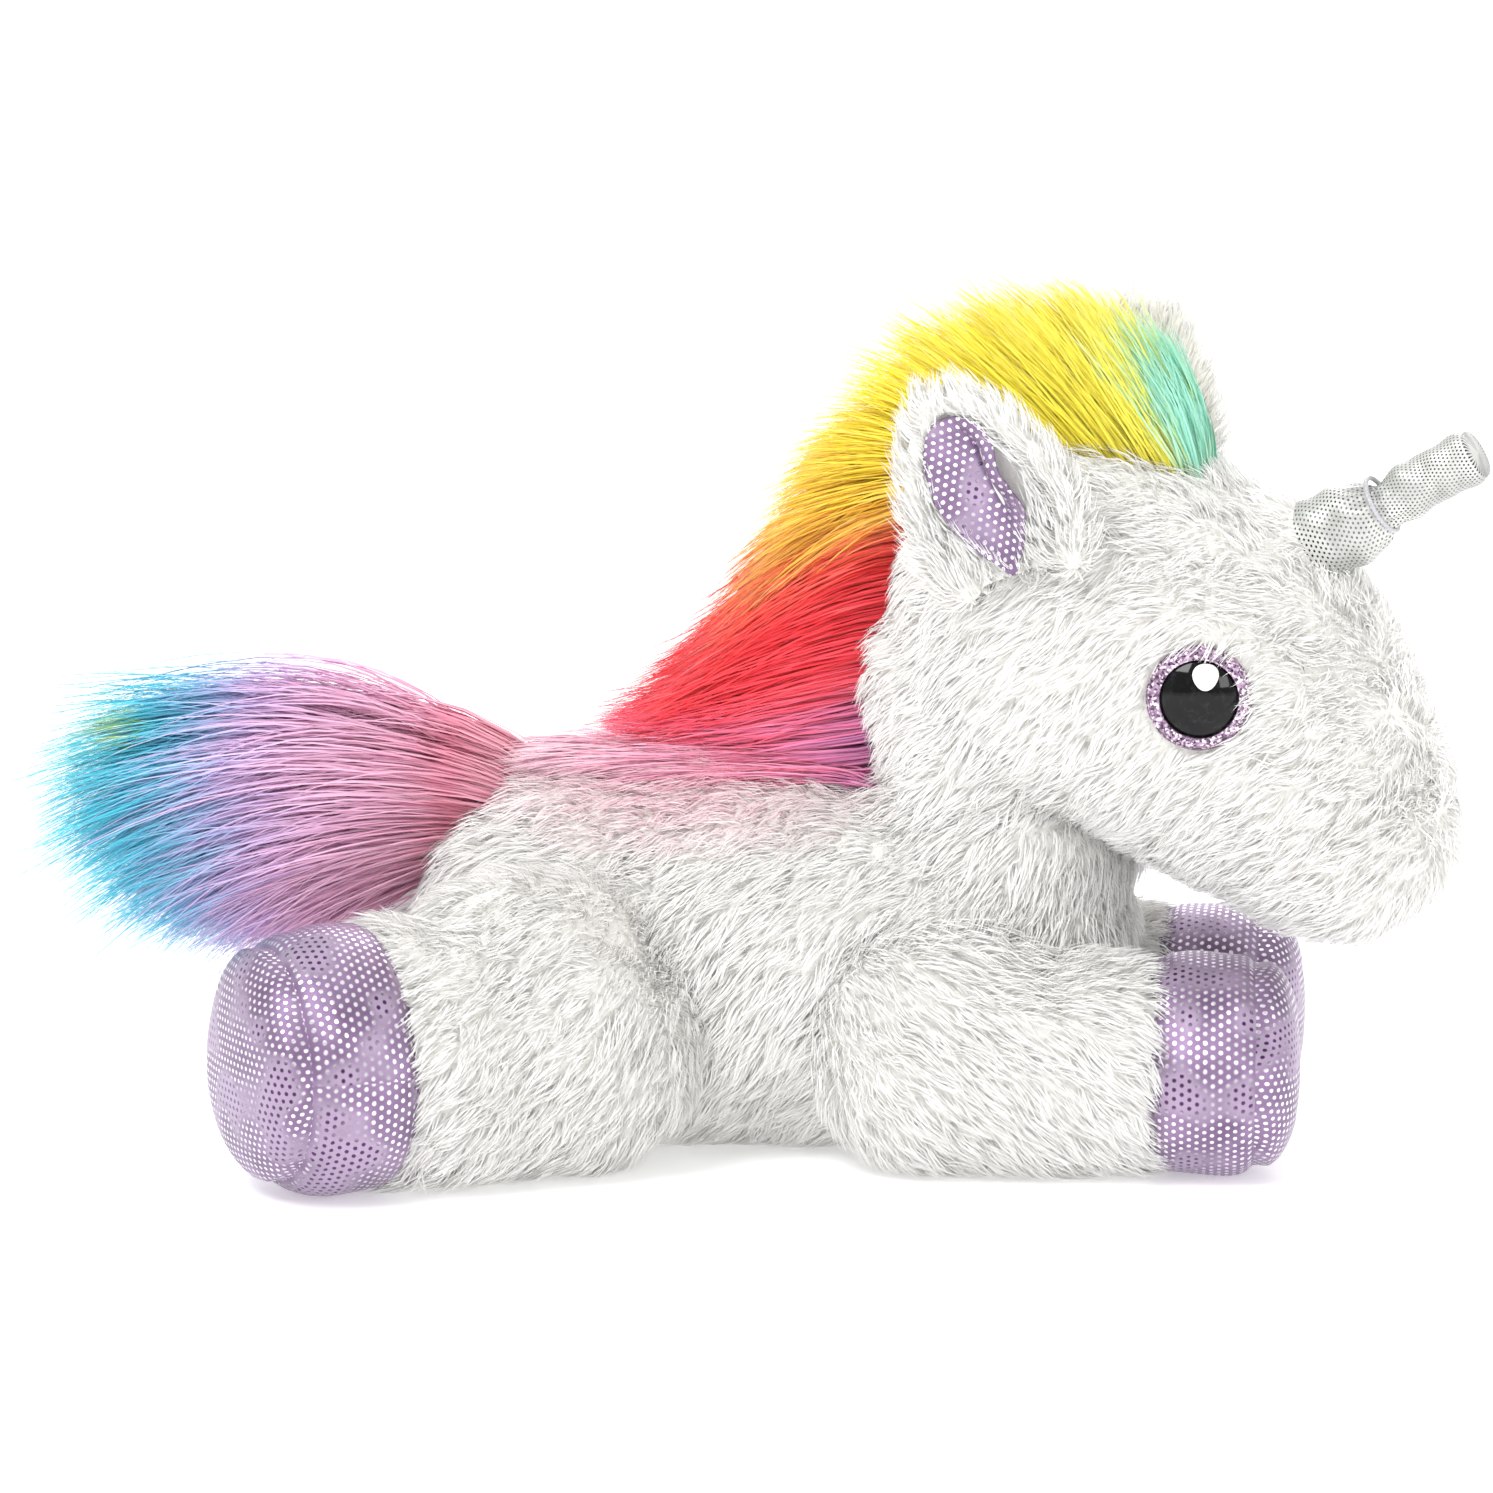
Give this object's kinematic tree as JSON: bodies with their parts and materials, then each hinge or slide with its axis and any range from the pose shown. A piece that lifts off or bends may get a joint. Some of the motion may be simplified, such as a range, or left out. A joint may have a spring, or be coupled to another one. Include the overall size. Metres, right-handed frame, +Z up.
{
  "type": "plush unicorn",
  "caption": "Stuffed unicorn lying on its belly, with sewn fur covers round soft fillings, foil-dot hooves, a tied horn, glitter-ringed eyes and a long-pile rainbow mane and tail.",
  "frame": {"origin": "on the table under the middle of the belly, on the toy's mid-plane", "axes": "+X towards the nose, +Y to the toy's left, +Z up"},
  "size_m": [0.3102, 0.18, 0.1728],
  "materials": {
    "white_fur": "matte",
    "stuffing": "matte",
    "lining_cloth": "matte",
    "pellets": "matte",
    "rainbow_pile": "satin",
    "foil_dot_mauve": "satin",
    "silver_lame": "satin",
    "silver_thread": "satin",
    "glitter": "gloss",
    "eye_black": "gloss",
    "washer_plastic": "matte"
  },
  "bodies": {
    "torso": {"torso_cover": "white_fur", "torso_filling": "stuffing", "pellet_bag": "lining_cloth", "pellets": "pellets", "withers_pile": "rainbow_pile"},
    "neck": {"neck_filling": "stuffing"},
    "head": {"head_cover": "white_fur", "head_filling": "stuffing", "eye_ring_right": "glitter", "eye_ring_left": "glitter", "eye_dome_right": "eye_black", "eye_dome_left": "eye_black", "eye_washer_right": "washer_plastic", "eye_washer_left": "washer_plastic", "forelock_pile": "rainbow_pile", "crest_pile": "rainbow_pile"},
    "ear_right": {"ear_back_right": "white_fur", "ear_lining_right": "foil_dot_mauve"},
    "ear_left": {"ear_back_left": "white_fur", "ear_lining_left": "foil_dot_mauve"},
    "horn": {"horn_cover": "silver_lame", "horn_filling": "stuffing", "horn_thread": "silver_thread"},
    "tail": {"tail_backing": "lining_cloth", "tail_pile": "rainbow_pile"},
    "front_leg_right": {"front_leg_cover_right": "white_fur", "front_leg_filling_right": "stuffing", "front_hoof_band_right": "foil_dot_mauve", "front_hoof_sole_right": "foil_dot_mauve"},
    "front_leg_left": {"front_leg_cover_left": "white_fur", "front_leg_filling_left": "stuffing", "front_hoof_band_left": "foil_dot_mauve", "front_hoof_sole_left": "foil_dot_mauve"},
    "rear_leg_right": {"rear_leg_cover_right": "white_fur", "rear_leg_filling_right": "stuffing", "rear_hoof_band_right": "foil_dot_mauve", "rear_hoof_sole_right": "foil_dot_mauve"},
    "rear_leg_left": {"rear_leg_cover_left": "white_fur", "rear_leg_filling_left": "stuffing", "rear_hoof_band_left": "foil_dot_mauve", "rear_hoof_sole_left": "foil_dot_mauve"}
  },
  "joints": [
    {"name": "neck_turn", "type": "hinge", "parent": "torso", "child": "neck", "pos_m": [0.062, 0, 0.066], "axis": [0, 0, 1], "range_deg": [-16, 34], "stiffness_Nm_per_rad": 0.3},
    {"name": "head_nod", "type": "hinge", "parent": "neck", "child": "head", "pos_m": [0.062, 0, 0.066], "axis": [-0.2406, -0.965, -0.1045], "range_deg": [-1, 14], "stiffness_Nm_per_rad": 1.5},
    {"name": "horn_flex", "type": "hinge", "parent": "head", "child": "horn", "pos_m": [0.12771, -0.02334, 0.13026], "axis": [-0.2406, -0.965, -0.1045], "range_deg": [-12, 12], "stiffness_Nm_per_rad": 0.05},
    {"name": "tail_wag", "type": "hinge", "parent": "torso", "child": "tail", "pos_m": [-0.059, 0, 0.072], "axis": [0, 0, 1], "range_deg": [-15, 15], "stiffness_Nm_per_rad": 0.05},
    {"name": "ear_flap_right", "type": "hinge", "parent": "head", "child": "ear_right", "pos_m": [0.07004, -0.04526, 0.12557], "axis": [0.9031, -0.262, 0.3401], "range_deg": [-15, 25], "stiffness_Nm_per_rad": 0.02},
    {"name": "ear_flap_left", "type": "hinge", "parent": "head", "child": "ear_left", "pos_m": [0.08713, 0.02329, 0.13299], "axis": [-0.9661, 0.2278, 0.1212], "range_deg": [-15, 25], "stiffness_Nm_per_rad": 0.02},
    {"name": "front_leg_splay_right", "type": "hinge", "parent": "torso", "child": "front_leg_right", "pos_m": [0.05, -0.03, 0.023], "axis": [0, 0, -1], "range_deg": [0, 25], "stiffness_Nm_per_rad": 0.1},
    {"name": "rear_leg_splay_right", "type": "hinge", "parent": "torso", "child": "rear_leg_right", "pos_m": [-0.024, -0.037, 0.0275], "axis": [0, 0, 1], "range_deg": [-8, 20], "stiffness_Nm_per_rad": 0.1},
    {"name": "front_leg_splay_left", "type": "hinge", "parent": "torso", "child": "front_leg_left", "pos_m": [0.05, 0.03, 0.023], "axis": [0, 0, 1], "range_deg": [0, 25], "stiffness_Nm_per_rad": 0.1},
    {"name": "rear_leg_splay_left", "type": "hinge", "parent": "torso", "child": "rear_leg_left", "pos_m": [-0.024, 0.037, 0.0275], "axis": [0, 0, -1], "range_deg": [-8, 20], "stiffness_Nm_per_rad": 0.1}
  ]
}
